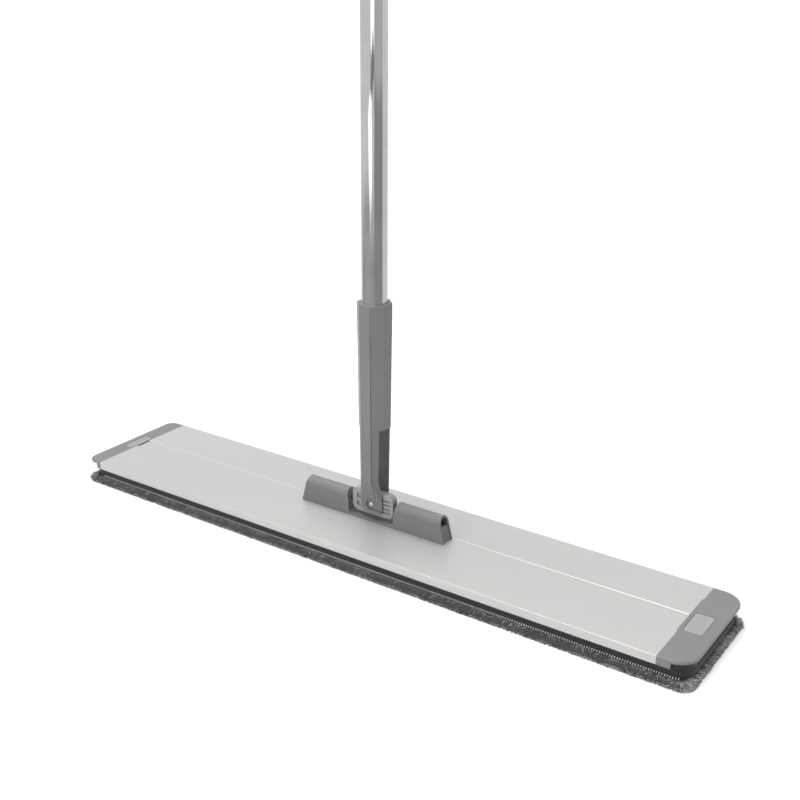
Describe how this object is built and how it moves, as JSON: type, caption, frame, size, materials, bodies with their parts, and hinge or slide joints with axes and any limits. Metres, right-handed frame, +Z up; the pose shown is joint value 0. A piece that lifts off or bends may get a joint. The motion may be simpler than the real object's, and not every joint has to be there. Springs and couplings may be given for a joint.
{
  "type": "flat mop",
  "caption": "Flat mop with a long aluminium plate, push-button end caps, microfibre pad and an upright tubular handle on a two-axis joint.",
  "frame": {"origin": "on the floor, under the middle of the aluminium plate", "axes": "+X along the plate, -Y the front, +Z up along the upright handle"},
  "size_m": [0.704, 0.139, 1.262],
  "materials": {
    "satin_aluminium": "satin anodised",
    "cap_plastic": "fine matt moulding",
    "light_plastic": "fine matt moulding",
    "grey_plastic": "fine matt moulding",
    "inner_plastic": "plain moulding",
    "grip_plastic": "ringed soft moulding",
    "spring_steel": "bright",
    "steel": "bright zinc",
    "polished_steel": "polished",
    "chrome_tube": "polished",
    "hook_tape": "hook tape",
    "black_backing": "dense woven backing",
    "grey_microfibre": "short twisted pile",
    "black_rubber": "plain"
  },
  "bodies": {
    "mop_plate": {"aluminium_plate": "satin_aluminium", "end_cap_left": "cap_plastic", "end_cap_right": "cap_plastic", "button_spring_left": "spring_steel", "button_spring_right": "spring_steel", "hook_strip_front": "hook_tape", "hook_strip_back": "hook_tape", "pad_backing": "black_backing", "pad_pile": "grey_microfibre", "hinge_bracket": "grey_plastic", "bracket_screws": "steel"},
    "left_button": {"release_button_left": "light_plastic"},
    "right_button": {"release_button_right": "light_plastic"},
    "swivel": {"swivel_block": "light_plastic", "swivel_pin_left": "steel", "swivel_pin_right": "steel", "friction_washer_left": "black_rubber", "friction_washer_right": "black_rubber"},
    "handle": {"handle_socket": "grey_plastic", "pivot_screw": "polished_steel", "pivot_nut": "steel", "handle_tube": "chrome_tube", "tube_foot_plug": "inner_plastic", "tube_lock_sleeve": "inner_plastic", "tube_lock_screw": "steel", "grip": "grip_plastic", "hanging_cap": "grey_plastic"}
  },
  "joints": [
    {"name": "handle_pitch", "type": "hinge", "parent": "mop_plate", "child": "swivel", "pos_m": [0, 0, 0.0396], "axis": [1, 0, 0], "range_deg": [-88, 88]},
    {"name": "handle_roll", "type": "hinge", "parent": "swivel", "child": "handle", "pos_m": [0, 0, 0.0396], "axis": [0, 1, 0], "range_deg": [-45, 45]},
    {"name": "left_button_press", "type": "slide", "parent": "mop_plate", "child": "left_button", "axis": [0, 0, -1], "range_m": [0, 0.0016], "stiffness_N_per_m": 1500, "springref_m": -0.0006, "deforming": ["button_spring_left"]},
    {"name": "right_button_press", "type": "slide", "parent": "mop_plate", "child": "right_button", "axis": [0, 0, -1], "range_m": [0, 0.0016], "stiffness_N_per_m": 1500, "springref_m": -0.0006, "deforming": ["button_spring_right"]}
  ]
}
